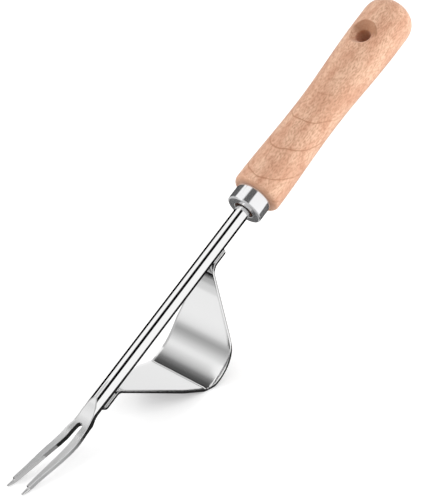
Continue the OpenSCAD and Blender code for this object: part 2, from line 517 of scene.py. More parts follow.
@dataclass(frozen=True)
class SteelFinish:
    """Bare or plated steel with fine scratches and faint clouding."""

    name: str
    colour: Colour
    roughness: float
    cloud: float
    scratch: float
    grain: Grain
    metal: float = 1.0
    dull_to: float = 0.0
    dull_fade: float = 20.0
    dull_roughness: float = 0.40
    dull_metal: float = 0.95

    def material(self, bench: Bench) -> bpy.types.Material:
        """Builds the finish, which may be dull from the tine points to dull_to.

        Args:
            bench: gives the coordinates that the scratches follow.

        Returns:
            The material.
        """
        material, graph = new_material(self.name)
        place = graph.bench_place(bench)
        scratches = graph.noise(graph.stretch(place, self.grain.value), 6.0, 3.0, 0.6)
        clouds = graph.noise(place, 0.09, 3.0, 0.55)
        shade = graph.between(clouds, 0.3, 0.7, 1.0 - self.cloud, 1.0)
        dark = tuple(c * (1.0 - 2.0 * self.cloud) for c in self.colour)
        colour = graph.mix(shade, dark, self.colour)
        level: Value | float = self.roughness
        metal: Value | float = self.metal
        if self.dull_to:
            x, _, _ = graph.split(place)
            along = graph.between(x, self.dull_to - self.dull_fade, self.dull_to)
            dull = graph.node("ShaderNodeAttribute", {"attribute_name": DULL}, output="Fac")
            shine = along.most(1 - dull)
            level = self.dull_roughness + shine * (self.roughness - self.dull_roughness)
            metal = self.dull_metal + shine * (self.metal - self.dull_metal)
        rough = (scratches - 0.5) * 0.8 * level + level + (clouds - 0.5) * self.cloud
        bump = graph.bump(scratches, self.scratch, 0.02)
        graph.coat({"Base Color": colour, "Metallic": metal, "Roughness": rough, "Normal": bump})
        return material


@dataclass(frozen=True)
class BeechFinish:
    """Turned beech under a thin satin lacquer."""

    pale: Colour = (0.90, 0.58, 0.40)
    pink: Colour = (0.73, 0.40, 0.26)
    fibre_depth: float = 0.14
    fleck: Colour = (0.46, 0.19, 0.10)
    fleck_depth: float = 0.70
    ring: Colour = (0.42, 0.16, 0.07)
    ring_depth: float = 0.70
    # End grain colour, also used as painted shade in the hanging hole and on the tenon face inside the
    # ferrule.
    end_grain_and_shade: Colour = (0.40, 0.18, 0.09)
    # Strength of the painted shade in the hanging hole.
    hole_shade_depth: float = 0.75
    front_depth: float = 0.5
    ring_pitch: float = 11.5
    ring_lean: float = 0.62
    ring_start: float = 4.4
    ring_wander: float = 5.0
    ring_line = (0.93, 0.985, 0.985, 1.0)
    clear_to: float = 42.0
    faint_from: float = 75.0
    faint: float = 0.12
    pith: Point2 = (9.6, -59.2)

    def growth_rings(self, graph: Graph, place: Value, front_x: float) -> Value:
        """Thin late-wood lines that arch over the turned surface.

        Args:
            graph: the material's graph.
            place: bench coordinates.
            front_x: where the handle's front face is.

        Returns:
            A mask, 1 on a line.
        """
        wander = graph.noise(graph.stretch(place, (0.4, 1.0, 1.0)), 0.05, 2.0)
        x, y, z = graph.split(place)
        away = ((y - self.pith[0]) ** 2 + (z - self.pith[1]) ** 2) ** 0.5
        level = away + (x - front_x) * self.ring_lean + self.ring_start
        level = level + (wander - 0.5) * self.ring_wander
        phase = (level / self.ring_pitch).fraction()
        fade = graph.between(x, front_x + self.clear_to, front_x + self.faint_from, 1.0, self.faint)
        return graph.band(phase, self.ring_line) * fade

    def grain_ends_and_painted_shade(self, graph: Graph, place: Value, front_x: float, hang_x: float, sink_r: float) -> Value:
        """The darker end grain at the front face, with painted shade in the hanging hole and on the tenon
        inside the ferrule.

        Args:
            graph: the material's graph.
            place: bench coordinates.
            front_x: where the handle's front face is.
            hang_x: where the hanging hole's axis is.
            sink_r: the countersink's radius.

        Returns:
            A mask, 1 on end grain and on painted shade.
        """
        x, y, _ = graph.split(place)
        from_hole = ((x - hang_x) ** 2 + y**2) ** 0.5
        # Painted shade in the hanging hole: its half towards the butt is darkened with the end grain's
        # colour.
        hole = graph.between(from_hole, sink_r - 0.5, sink_r, 1.0, 0.0)
        wall = graph.between(x, hang_x - 1.0, hang_x + 3.0)
        front = graph.between(x, front_x + 0.3, front_x + 1.8, 1.0, 0.0)
        # Painted shade: the tenon's face inside the ferrule is made fully dark, so the gap round the rod
        # looks shaded.
        tenon = graph.between(x, front_x - 4.0, front_x - 3.0, 1.0, 0.0)
        return (hole * wall * self.hole_shade_depth).most(front * self.front_depth).most(tenon)

    def material(self, bench: Bench, handle: Handle) -> bpy.types.Material:
        """Builds the finish.

        Args:
            bench: gives the coordinates that the grain follows.
            handle: the piece that is dressed.

        Returns:
            The material.
        """
        material, graph = new_material("turned_beech")
        place = graph.bench_place(bench)
        broad = graph.noise(graph.stretch(place, (0.35, 1.0, 1.0)), 0.20, 4.0, 0.6)
        fibre = graph.noise(graph.stretch(place, (0.07, 1.0, 1.0)), 2.6, 3.0, 0.6)
        cells = graph.cells(graph.stretch(place, (0.50, 2.3, 2.3)), 1.0)
        flecks = graph.between(cells, 0.24, 0.66, 1.0, 0.0) * graph.between(fibre, 0.30, 0.50)
        rings = self.growth_rings(graph, place, handle.front_x)
        # End grain, with painted shade in the hanging hole and in the ferrule's gap.
        across = self.grain_ends_and_painted_shade(graph, place, handle.front_x, handle.hang_x, handle.sink_r)
        colour = graph.mix(graph.between(broad, 0.34, 0.66), self.pink, self.pale)
        for share, layer in (
            (graph.between(fibre, 0.35, 0.75) * self.fibre_depth, self.pink),
            (flecks * self.fleck_depth, self.fleck),
            (rings * self.ring_depth, self.ring),
            (across, self.end_grain_and_shade),
        ):
            colour = graph.mix(share, colour, layer)
        height = fibre * 0.5 - flecks * 0.6 - rings * 0.2
        graph.coat(
            {
                "Base Color": colour,
                "Roughness": 0.46 + (fibre - 0.5) * 0.2,
                "Normal": graph.bump(height, 0.35, 0.08),
                "Coat Weight": 0.12,
                "Sheen Weight": 0.25,
                "Sheen Roughness": 0.4,
                "Coat Roughness": 0.32,
                "Specular IOR Level": 0.35,
            }
        )
        return material


@dataclass(frozen=True)
class EpoxyFinish:
    """Cured amber glue with a few trapped bubbles."""

    colour: Colour = (0.62, 0.42, 0.13)
    bubble: Colour = (0.85, 0.70, 0.38)

    def material(self, bench: Bench) -> bpy.types.Material:
        """Builds the finish on bench coordinates."""
        material, graph = new_material("cured_epoxy")
        bubbles = graph.between(graph.cells(graph.bench_place(bench), 0.8), 0.12, 0.2, 1.0, 0.0)
        colour = graph.mix(bubbles, self.colour, self.bubble)
        graph.coat({"Base Color": colour, "Roughness": 0.25 + bubbles * 0.2})
        return material


# --------------------------------------------------------------------------------------
# The pieces
# --------------------------------------------------------------------------------------


@dataclass
class ForkShaft:
    """The forged bar: two-tine blade, neck, round rod and tang, in millimetres."""

    rod_r: float = 4.0
    round_from: float = 60.0
    shoulder_x: float = 203.0
    tang_r: float = 3.0
    tang_end: float = 253.0
    tine_slope: float = 17.5
    tip_rise: float = 10.5
    blade_t: float = 2.8
    bend_from: float = 30.0
    bend_r: float = 34.0
    neck_slope: float = 3.0
    slot_root: float = 46.0
    slot_root_r: float = 1.8
    tip_half_gap: float = 4.4
    ring_pitch: float = 1.0

    neck_lead: float = 6.0
    chamfer: float = 0.8
    edge_r: float = 0.4
    corner_angle: float = 12.0
    flat_steps: int = 5
    corner_steps: int = 4
    side_steps: int = 12
    tongue_len: float = 4.3
    tongue_step: float = 0.45
    tongue_t: float = 0.15
    tongue_growth: float = 1.6
    bright_inside: float = 4.8
    bright_tip: float = 5.1
    upward: float = 0.85

    # Distance from the tine points, half width and radius of the round that the bar was forged from.
    plan = (
        (0.0, 5.25, 40.0), (3.0, 5.45, 40.0), (6.0, 5.50, 40.0), (14.0, 5.65, 40.0),
        (22.0, 6.05, 40.0), (29.0, 6.10, 40.0), (36.0, 5.80, 40.0), (42.0, 5.30, 14.0),
        (46.0, 4.65, 7.0), (50.0, 4.20, 4.8), (54.0, 4.02, 4.0), (60.0, 4.00, 4.0),
    )
    # Distance from the tine points, upper and lower surface of the neck.
    neck = (
        (40.0, 0.95, -2.15), (43.0, 0.62, -2.45), (46.0, 0.50, -3.00), (50.0, 1.05, -3.70),
        (54.0, 2.30, -3.93), (57.0, 3.42, -3.99), (59.4, 3.93, -4.00),
    )
    # Distance from the tine points and half width of the slot.
    slot = ((36.0, 2.15), (30.0, 2.62), (24.0, 2.92), (18.0, 3.15), (12.0, 3.38), (6.0, 3.70), (3.0, 4.10))

    def blade_middle(self, x: float) -> float:
        """Height of the blade's middle at a distance from the tine points."""
        slope = math.radians(self.tine_slope)
        start = self.tip_rise - self.bend_from * math.tan(slope)
        centre = (self.bend_from + self.bend_r * math.sin(slope), start + self.bend_r * math.cos(slope))
        if x <= self.bend_from:
            return self.tip_rise - x * math.tan(slope)
        across = min(x, centre[0] - self.bend_r * math.sin(math.radians(self.neck_slope))) - centre[0]
        return centre[1] - math.sqrt(self.bend_r**2 - across**2)

    def point_surfaces(self, x: float, thick: float) -> Point2:
        """Heights over and under the blade's middle, with the ground tongue at the tine points."""
        if x > self.tongue_len + self.tongue_step:
            return thick, thick
        along = min(1.0, x / self.tongue_len)
        under = self.tongue_t + (thick - self.tongue_t) * min(1.0, self.tongue_growth * along)
        over = self.tongue_t * (1 - along)
        if x > self.tongue_len:
            rise = (x - self.tongue_len) / self.tongue_step
            return over + (thick - over) * rise, under
        return over, under

    def surfaces(self, x: float) -> Point2:
        """Heights of the upper and the lower surface at a distance from the tine points."""
        thick = self.blade_t / 2 / math.cos(math.radians(self.tine_slope))
        middle = self.blade_middle(x)
        first_neck, last_neck = self.neck[0][0], self.neck[-1][0]
        if x >= last_neck:
            return self.rod_r, -self.rod_r
        upper, lower = flowing(self.neck, x)
        if x >= first_neck:
            return upper, lower
        over, under = self.point_surfaces(x, thick)
        t = max(0.0, (x - first_neck + self.neck_lead) / self.neck_lead)
        t = t * t * (3 - 2 * t)
        return (middle + over) * (1 - t) + upper * t, (middle - under) * (1 - t) + lower * t

    def section(self, x: float) -> list[Vector]:
        """The bar's outline at a distance from the tine points.

        The outline is what is left of a round between two flats and two sides, with
        rounded corners. It starts in the middle of the upper flat.

        Args:
            x: the distance.

        Returns:
            The outline's points.
        """
        half, round_r = flowing(self.plan, x)
        round_r = max(round_r, self.rod_r)
        upper, lower = self.surfaces(x)
        reach = round_r * math.cos(math.radians(self.corner_angle))
        top, low = min(upper, reach), max(lower, -reach)

        def width(z: float) -> float:
            """Half the outline's width at a height."""
            return min(half, math.sqrt(round_r**2 - z**2))

        def over(y: float) -> Point2:
            """A point of the upper flat."""
            return y, min(upper, math.sqrt(round_r**2 - y**2))

        def under(y: float) -> Point2:
            """A point of the lower flat."""
            return y, max(lower, -math.sqrt(round_r**2 - y**2))

        def side(t: float) -> Point2:
            """A point of the side, from the upper corner at 0 to the lower one at 1."""
            start, end = math.asin(top / round_r), math.asin(low / round_r)
            z = round_r * math.sin(start + (end - start) * t)
            return width(z), z

        near = min(self.edge_r, (top - low) * 0.3)
        share = near / (top - low)
        top_end, low_end = (max(width(z) - near, width(z) * 0.5) for z in (top, low))
        flat, wall = self.flat_steps, self.side_steps
        chain = [over(top_end * i / flat) for i in range(flat)]
        chain += rounded(over(top_end), (width(top), top), side(share), self.corner_steps)
        chain += [side(share + (1 - 2 * share) * i / wall) for i in range(1, wall)]
        chain += rounded(side(1 - share), (width(low), low), under(low_end), self.corner_steps)
        chain += [under(low_end * i / flat) for i in range(flat - 1, -1, -1)]
        return [Vector((x, y, z)) for y, z in chain + [(-y, z) for y, z in chain[-2:0:-1]]]

    def rod_section(self, x: float, radius: float) -> list[Vector]:
        """A round outline at a distance from the tine points."""
        shape = self.section(self.shoulder_x)
        size = radius / self.rod_r
        return [Vector((x, point.y * size, point.z * size)) for point in shape]

    def sections(self) -> list[list[Vector]]:
        """Every outline of the bar, from the tine points to the end of the tang."""
        steps = int(self.round_from / self.ring_pitch)
        places = [self.round_from * i / steps for i in range(steps + 1)]
        places += [self.tongue_len, self.tongue_len + self.tongue_step]
        made = [self.section(x) for x in sorted(set(places))]
        ends = (
            (self.shoulder_x - self.chamfer, self.rod_r),
            (self.shoulder_x, self.rod_r - self.chamfer),
            (self.shoulder_x, self.tang_r),
            (self.tang_end - self.chamfer, self.tang_r),
            (self.tang_end, self.tang_r - self.chamfer),
        )
        return made + [self.rod_section(x, radius) for x, radius in ends]

    def bar(self) -> bmesh.types.BMesh:
        """Draws the solid bar through its outlines, before the slot is cut."""
        bm = bmesh.new()
        order = bm.verts.layers.int.new("order")
        sections = self.sections()
        ring = bmesh.ops.create_circle(bm, segments=len(sections[0]), radius=1.0)["verts"]
        for i, vert in enumerate(ring):
            vert[order] = i
        edges = list(bm.edges)
        ends = [edges]
        for number, outline in enumerate(sections):
            if number:
                ring, edges = next_row(bm, edges)
            for vert in ring:
                vert.co = outline[vert[order]]
        ends.append(edges)
        for loop in ends:
            bmesh.ops.edgeloop_fill(bm, edges=loop)
        return bm

    def slot_cutter(self) -> bmesh.types.BMesh:
        """The shape that opens the slot between the tines."""
        low, tall, past_tip = -20.0, 60.0, 2.0
        root = (self.slot_root - self.slot_root_r, 0.0)
        flank = [*self.slot, (0.0, self.tip_half_gap), (-past_tip, self.tip_half_gap)]
        outline = arc(root, self.slot_root_r, -90.0, 90.0, 16) + flank
        outline += [(x, -y) for x, y in reversed(flank)]
        bm = bmesh.new()
        points = [bm.verts.new((x, y, low)) for x, y in outline]
        for pair in zip(points, points[1:] + points[:1]):
            bm.edges.new(pair)
        face = bmesh.ops.contextual_create(bm, geom=bm.edges)["faces"]
        grown = bmesh.ops.extrude_face_region(bm, geom=face)["geom"]
        top = [g for g in grown if isinstance(g, bmesh.types.BMVert)]
        bmesh.ops.translate(bm, verts=top, vec=(0, 0, tall))
        return bm

    def build(self, bench: Bench) -> bpy.types.Object:
        """Makes the bar and cuts its slot.

        Args:
            bench: where it is put in its stance.

        Returns:
            The finished object.
        """
        piece = bench.place(self.bar(), "fork_and_rod", sharp=35.0)
        cut(piece, bench.place(self.slot_cutter(), "slot_cutter"))
        soften(piece, width=0.28, segments=3, angle=50.0)
        self.mark_dull(piece, bench)
        return piece

    def mark_dull(self, piece: bpy.types.Object, bench: Bench) -> None:
        """Marks the faces that are brushed dull: all but the slot's walls and the ground tips.

        Args:
            piece: the finished bar.
            bench: tells which way is up on the bench.
        """
        upper = (bench.stance.to_3x3() @ Vector((0.0, 0.0, 1.0))).normalized()
        to_bench = bench.stance.inverted()
        marks = piece.data.attributes.new(DULL, "FLOAT", "FACE")
        for face in piece.data.polygons:
            centre = to_bench @ face.center
            outside = abs(centre.y) > self.bright_inside and centre.x > self.bright_tip
            marks.data[face.index].value = float(outside or face.normal.dot(upper) > self.upward)


@dataclass
class Fulcrum:
    """The bent sheet under the rod, in millimetres."""

    rod_r: float = 4.0
    sheet_t: float = 1.5
    belly_r: float = 20.6
    belly_x: float = 112.2
    belly_drop: float = 46.0
    crease_angle: float = 25.0
    crease_r: float = 6.5
    rear_slope: float = 58.4
    ease_turn: float = 16.0
    ease_out: float = 10.0
    front_bend_x: float = 70.0
    width: float = 39.8
    crease_w: float = 37.0
    side_slope: float = 0.25
    outline_r: float = 30.0
    flare: float = 25.2
    tab_w: float = 5.4
    tab_len: float = 10.0
    bend_r: float = 4.0
    rear_bend_r: float = 7.0
    rear_reach: float = 12.24
    tab_corner_r: float = 2.2
    blend: float = 1.2
    rows_across: int = 16

    def on_belly(self, turn: float) -> Point2:
        """The belly's middle line at an angle in degrees from its lowest point."""
        return step_from((self.belly_x, self.belly_r - self.belly_drop), turn - 90.0, self.belly_r)

    def middle_line(self) -> list[Point2]:
        """The sheet's middle, seen from the side, from the front tab to the rear tab."""
        tab_z = -self.rod_r - self.sheet_t / 2
        centre = (self.belly_x, self.belly_r - self.belly_drop)
        crease = self.on_belly(-self.crease_angle)
        slope = math.degrees(math.atan2(tab_z - crease[1], crease[0] - self.front_bend_x))
        rear_top = self.on_belly(self.rear_slope)
        rear_x = rear_top[0] + (tab_z - rear_top[1]) / math.tan(math.radians(self.rear_slope))
        front_lead = self.bend_r * math.tan(math.radians(slope / 2))
        front_c = (self.front_bend_x - front_lead, tab_z - self.bend_r)
        rear_lead = self.rear_bend_r * math.tan(math.radians(self.rear_slope / 2))
        rear_c = (rear_x + rear_lead, tab_z - self.rear_bend_r)
        front_bend = arc(front_c, self.bend_r, 90.0, 90.0 - slope, 8)
        rear_bend = arc(rear_c, self.rear_bend_r, 90.0 + self.rear_slope, 90.0, 10)
        lead = self.crease_r * math.tan(math.radians(slope - self.crease_angle) / 2)
        round_c = step_from(step_from(crease, -slope, -lead), 90.0 - slope, self.crease_r)
        fold = arc(round_c, self.crease_r, -90.0 - slope, -90.0 - self.crease_angle, 5)
        lead_turn = math.degrees(lead / self.belly_r)
        ease_from = self.rear_slope - self.ease_turn
        belly = arc(centre, self.belly_r, -90.0 - self.crease_angle + lead_turn, -90.0 + ease_from, 36)
        lead_in = self.belly_r * math.tan(math.radians(self.ease_turn / 2))
        ahead = step_from(belly[-1], ease_from, lead_in)
        easing = rounded(belly[-1], ahead, step_from(ahead, self.rear_slope, self.ease_out), 14)
        return (
            spaced((front_c[0] - self.tab_len, tab_z), front_bend[0], 10)
            + front_bend[:-1]
            + spaced(front_bend[-1], fold[0], 16)
            + fold
            + belly[:-1]
            + easing[:-1]
            + spaced(easing[-1], rear_bend[0], 12)
            + rear_bend
            + spaced((rear_x + self.rear_reach, tab_z), rear_bend[-1], 10)[::-1]
        )

    def half_width(self, x: float, z: float, ends: Point2) -> float:
        """Half the sheet's width at a point of its middle line.

        Args:
            x: distance from the tine points.
            z: height against the rod's axis.
            ends: distances of the two tab ends from the tine points.

        Returns:
            The half width.
        """
        tab = self.tab_w / 2
        flare = math.radians(self.flare)
        arc_top = -(self.belly_drop + self.sheet_t) + self.outline_r * math.sin(flare)
        at_arc = self.width / 2 - self.outline_r * (1 - math.cos(flare))
        if z < arc_top:
            lift = min(math.sin(flare), max(0.0, math.sin(flare) - (arc_top - z) / self.outline_r))
            return self.width / 2 - self.outline_r * (1 - math.sqrt(1 - lift**2))
        rise = at_arc - (z - arc_top) * math.tan(flare) - tab
        wide = tab + (rise + math.sqrt(rise**2 + self.blend**2)) / 2
        corner = min(x - ends[0], ends[1] - x, self.tab_corner_r)
        round_off = self.tab_corner_r - math.sqrt(
            self.tab_corner_r**2 - (self.tab_corner_r - max(corner, 0.0)) ** 2
        )
        return wide - round_off

    def build(self, bench: Bench) -> bpy.types.Object:
        """Draws the sheet out row by row and gives it its thickness.

        Args:
            bench: where it is put in its stance.

        Returns:
            The finished object.
        """
        line = self.middle_line()
        ends = (line[0][0], line[-1][0])
        bm = bmesh.new()
        place = bm.verts.layers.float.new("across")
        row = [bm.verts.new((0.0, 0.0, 0.0)) for _ in range(self.rows_across + 1)]
        for i, vert in enumerate(row):
            vert[place] = -1.0 + 2.0 * i / self.rows_across
        edges = [bm.edges.new(pair) for pair in zip(row, row[1:])]
        crease_x = self.on_belly(-self.crease_angle)[0]
        for number, (x, z) in enumerate(line):
            if number:
                row, edges = next_row(bm, edges)
            side = self.crease_w / 2 + self.side_slope * (x - crease_x)
            half = min(self.half_width(x, z, ends), side)
            for vert in row:
                vert.co = (x, vert[place] * half, z)
        piece = bench.place(bm, "fulcrum_sheet", sharp=40.0)
        wall = piece.modifiers.new("wall", "SOLIDIFY")
        wall.thickness = self.sheet_t * MM
        wall.offset = 0.0
        wall.use_even_offset = True
        settle(piece)
        soften(piece, width=0.35, segments=3, angle=55.0)
        piece.visible_glossy = False
        return piece


@dataclass
class Ferrule:
    """The chromed cup on the handle's front, in millimetres."""

    front_x: float = 183.0
    length: float = 10.0
    radius: float = 9.9
    wall: float = 1.2
    hole_r: float = 5.5
    rim_r: float = 1.0
    lip: float = 0.35
    steps: int = 96

    def build(self, bench: Bench) -> bpy.types.Object:
        """Turns the cup.

        Args:
            bench: where it is put in its stance.

        Returns:
            The finished object.
        """
        front, back = self.front_x, self.front_x + self.length
        inner = self.radius - self.wall
        outline = [(front + self.wall, self.hole_r), (front + self.lip, self.hole_r)]
        outline += arc((front + self.lip, self.hole_r + self.lip), self.lip, -90.0, -180.0, 4)
        outline += arc((front + self.rim_r, self.radius - self.rim_r), self.rim_r, 180.0, 90.0, 8)
        outline += arc((back - self.lip, self.radius - self.lip), self.lip, 90.0, 0.0, 4)
        outline += [(back, inner), (front + self.wall + self.lip, inner)]
        outline += arc((front + self.wall + self.lip, inner - self.lip), self.lip, 90.0, 180.0, 4)
        outline.append(outline[0])
        return bench.place(turned(outline, self.steps), "ferrule_cup", sharp=50.0)


@dataclass
class Handle:
    """The turned beech handle, in millimetres."""

    front_x: float = 193.0
    length: float = 134.4
    rim_r: float = 13.2
    waist_r: float = 12.0
    swell_r: float = 13.9
    lip_r: float = 2.6
    waist_at: float = 55.0
    plain: float = 8.0
    dome: float = 12.5
    butt_power: float = 2.5
    tenon_r: float = 8.7
    tenon: float = 5.0
    tenon_chamfer: float = 0.4
    socket_r: float = 4.3
    socket_end: float = 253.0
    hang_x: float = 298.0
    hang_r: float = 4.0
    sink_z: float = 9.7
    sink_r: float = 8.2
    mouth_r: float = 0.9
    steps: int = 128

    def outline(self) -> list[Point2]:
        """The handle's outline, from the middle of the tenon to the middle of the butt."""
        dome_x = self.length - self.dome
        swell_at = dome_x - self.plain
        lip = arc((self.lip_r, self.rim_r - self.lip_r), self.lip_r, 180.0, 90.0, 10)
        waist = eased((self.lip_r, self.rim_r), (self.waist_at, self.waist_r), 24)
        swell = eased((self.waist_at, self.waist_r), (swell_at, self.swell_r), 30)
        plain = spaced((swell_at + 2.0, self.swell_r), (dome_x, self.swell_r), 3)
        squash = 2 / self.butt_power
        butt = [
            (dome_x + self.dome * math.sin(t) ** squash, self.swell_r * math.cos(t) ** squash)
            for t in (math.pi / 2 * i / 32 for i in range(32))
        ]
        end, chamfer = -self.tenon, self.tenon_chamfer
        face = [(end, 0.0), (end, self.tenon_r - chamfer), (end + chamfer, self.tenon_r)]
        face += [(0.0, self.tenon_r)]
        body = face + lip + waist + swell + plain + butt + [(self.length, 0.0)]
        return [(self.front_x + x, radius) for x, radius in body]

    def socket_cutter(self) -> bmesh.types.BMesh:
        """The blind socket that the rod's end and the tang go into."""
        start, end = self.front_x - self.tenon - 1.0, self.socket_end
        return turned([(start, 0.0), (start, self.socket_r), (end, self.socket_r), (end, 0.0)], 48)

    def hang_cutter(self) -> bmesh.types.BMesh:
        """The hanging hole with a countersink at both ends and a rounded throat."""
        reach = 12.0
        turn = math.radians(22.5)
        lead = self.mouth_r * math.tan(turn)
        throat = arc((self.sink_z - lead, self.hang_r + self.mouth_r), self.mouth_r, -90.0, -45.0, 6)
        half = [*throat, (self.sink_z + reach, self.hang_r + reach)]
        outline = [(self.sink_z + reach, 0.0), *reversed(half)]
        outline += [(-x, radius) for x, radius in half] + [(-self.sink_z - reach, 0.0)]
        bm = turned(outline, 72)
        upright = Matrix.Translation((self.hang_x, 0, 0)) @ Matrix.Rotation(math.radians(-90), 4, "Y")
        bmesh.ops.transform(bm, matrix=upright, verts=bm.verts)
        return bm

    def build(self, bench: Bench) -> bpy.types.Object:
        """Turns the handle and bores it.

        Args:
            bench: where it is put in its stance.

        Returns:
            The finished object.
        """
        piece = bench.place(turned(self.outline(), self.steps), "beech_handle", sharp=40.0)
        cut(piece, bench.place(self.socket_cutter(), "socket_cutter"))
        cut(piece, bench.place(self.hang_cutter(), "hang_cutter"))
        return piece


@dataclass
class Welds:
    """The fillet beads between the rod and the fulcrum's tabs, in millimetres."""

    bead_r: float = 0.75
    side: float = 2.3
    drop: float = 3.7
    ripple: float = 0.14
    ripple_pitch: float = 1.1
    ring_pitch: float = 0.18
    steps: int = 20

    def build(self, bench: Bench, name: str, start: float, length: float) -> bpy.types.Object:
        """Lays a pair of rippled beads.

        Args:
            bench: where they are put in their stance.
            name: the object's name.
            start: where the beads begin, from the tine points.
            length: how long they are.

        Returns:
            The finished object.
        """
        bm = bmesh.new()
        order = bm.verts.layers.int.new("order")
        rings = int(length / self.ring_pitch)
        for side in (1, -1):
            ring = bmesh.ops.create_circle(bm, segments=self.steps, radius=1.0)["verts"]
            bmesh.ops.rotate(bm, verts=ring, matrix=Matrix.Rotation(math.pi / 2, 3, "Y"))
            spokes = [tuple(vert.co.yz) for vert in ring]
            for i, vert in enumerate(ring):
                vert[order] = i
            edges = list(dict.fromkeys(edge for vert in ring for edge in vert.link_edges))
            first = edges
            for number in range(rings + 1):
                if number:
                    ring, edges = next_row(bm, edges)
                t = number / rings
                wave = abs(math.sin(math.pi * t * length / self.ripple_pitch))
                taper = min(1.0, math.sqrt(max(0.02, 1 - (2 * t - 1) ** 8)))
                radius = (self.bead_r - self.ripple * (1 - wave)) * taper
                for vert in ring:
                    y, z = (spoke * radius for spoke in spokes[vert[order]])
                    vert.co = (start + length * t, side * self.side + y, z - self.drop)
            bmesh.ops.edgeloop_fill(bm, edges=first)
            bmesh.ops.edgeloop_fill(bm, edges=edges)
        return bench.place(bm, name, sharp=60.0)


# --------------------------------------------------------------------------------------
# The studio
# --------------------------------------------------------------------------------------


@dataclass
class Studio:
    """White surroundings, dark cards of painted shade in the steel's reflections, floor, lights and camera.
    """

    bench: Bench
    azimuth: float = 309.48
    elevation: float = 32.71
    distance: float = 0.8538
    roll: float = 0.82
    lens: float = 122.4
    aim_at: tuple[float, float, float] = (156.89, 2.0, -1.94)
    ambient: float = 0.72

    # What the sheet sees of the studio: the pitch of a direction in degrees, and its brightness.
    sheet_view = (
        (0.0, 0.88), (5.0, 0.86), (8.0, 0.02), (14.0, 0.02), (17.0, 1.0), (27.0, 1.0),
        (30.0, 0.02), (44.0, 0.03), (50.0, 0.06), (68.0, 0.085), (84.0, 0.20), (94.0, 0.42),
        (104.0, 0.58), (128.0, 0.86), (138.0, 0.85), (154.0, 0.66), (170.0, 0.46), (182.0, 0.38),
        (194.0, 0.42), (203.0, 0.52), (210.0, 0.84), (216.0, 0.93), (226.0, 0.93), (232.0, 0.05),
        (296.0, 0.05), (304.0, 0.95), (330.0, 0.95),
    )
    # Which directions see the patterns: where each band of them rises and where it falls again.
    rod_ring = (0.13, 0.17, 0.52, 0.58)
    rod_line = (-46.0, -36.0, -4.0, 1.0)
    rod_backing = (95.0, 99.0)
    sheet_side = (0.30, 0.38, 0.60, 0.66)
    # How bright reflections find the studio outside those bands.
    wall_level: float = 0.5
    light_away: float = 1.0
    # Lights: how far they stand to the camera's right, towards it and up, their size in metres and watts.
    boxes = (("right_box", 0.9, -0.15, 0.15, 0.8, 8.5), ("left_box", -0.95, -0.25, 0.8, 0.9, 4.0))
    # The wing's dark card in steps, painted shade next to the rod that only reflections see: heights of its
    # lower and upper edge on the bench, and its brightness.
    wing_shade_steps = ((-10, 2, 0.01), (-12, -10, 0.2), (-15, -12, 0.45), (-19, -15, 0.7))
    # Dark cards on the floor under the fork, painted shade that only reflections see: x and y of a corner,
    # length and width in metres, and brightness.
    floor_shade_cards = (
        ("floor_shade_card", -0.091, -0.052, 0.160, 0.042, 0.02),
        ("slot_shade_card", -0.113, -0.010, 0.068, 0.013, 0.02),
        ("slot_end_shade_card", -0.122, -0.010, 0.009, 0.013, 0.25),
    )

    def aim(self) -> Vector:
        """The point that the camera and the lights are turned to."""
        return self.bench.stance @ Vector(self.aim_at)

    def camera(self) -> None:
        """Puts the camera on its stand."""
        eye = toward_eye(self.azimuth, self.elevation)
        data = bpy.data.cameras.new("camera")
        data.lens = self.lens
        data.clip_start = 0.01
        data.clip_end = 20.0
        stand = bpy.data.objects.new("camera", data)
        stand.location = self.aim() + eye * self.distance
        look = (-eye).to_track_quat("-Z", "Y").to_matrix().to_4x4()
        turn = look @ Matrix.Rotation(math.radians(self.roll), 4, "Z")
        stand.matrix_world = Matrix.Translation(stand.location) @ turn
        bpy.context.scene.collection.objects.link(stand)
        bpy.context.scene.camera = stand

    def floor(self) -> None:
        """A pale sweep that the tool stands on."""
        bm = bmesh.new()
        bmesh.ops.create_grid(bm, x_segments=1, y_segments=1, size=6.0)
        floor = new_object(bm, "floor")
        floor.visible_glossy = False
        material, graph = new_material("white_paper")
        graph.coat(
            {
                "Base Color": (0.92, 0.92, 0.92, 1.0),
                "Roughness": 0.9,
                "Specular IOR Level": 0.0,
                "Emission Color": (1.0, 1.0, 1.0, 1.0),
                "Emission Strength": 0.30,
            }
        )
        floor.data.materials.append(material)

    def surroundings(self) -> None:
        """White light from everywhere, with a pattern that only the steel's reflections see."""
        world = bpy.data.worlds.new("studio")
        world.use_nodes = True
        bpy.context.scene.world = world
        graph = Graph(world.node_tree)
        direction = graph.node("ShaderNodeTexCoord", output="Generated")

        def along(axis: Vector) -> Value:
            """How far a direction points along an axis."""
            return graph.node(
                "ShaderNodeVectorMath",
                {"operation": "DOT_PRODUCT"},
                {0: direction, 1: axis.normalized()},
                output="Value",
            )

        def turn(across: Value, ahead: Value) -> Value:
            """The angle of a direction in a plane, in degrees."""
            return across.bearing(ahead) * math.degrees(1.0)

        rod = (self.bench.stance.to_3x3() @ Vector((1, 0, 0))).normalized()
        eye = toward_eye(self.azimuth, self.elevation)
        front = (eye - rod * eye.dot(rod)).normalized()
        right = front.cross(rod)
        if right.dot(self.right()) < 0:
            right = -right
        rod_band = graph.band(along(rod), self.rod_ring)
        round_rod = turn(along(right), along(front))
        backing = graph.between(abs(round_rod), *self.rod_backing)
        rod_shade = 1 - backing.most(graph.band(round_rod, self.rod_line)) * rod_band

        pitch = turn(along(Vector((0, 0, 1))), along(Vector((1, 0, 0))))
        ramp = graph.node(
            "ShaderNodeValToRGB",
            {"stops": [(angle / 360.0, (level, level, level)) for angle, level in self.sheet_view]},
            {"Fac": (pitch + 360.0) % 360.0 / 360.0},
        )
        sheet_band = graph.band(along(Vector((0, 1, 0))), self.sheet_side)
        level = graph.node("ShaderNodeRGBToBW", {}, {"Color": ramp})
        sheet_shade = 1 - (1 - level) * sheet_band

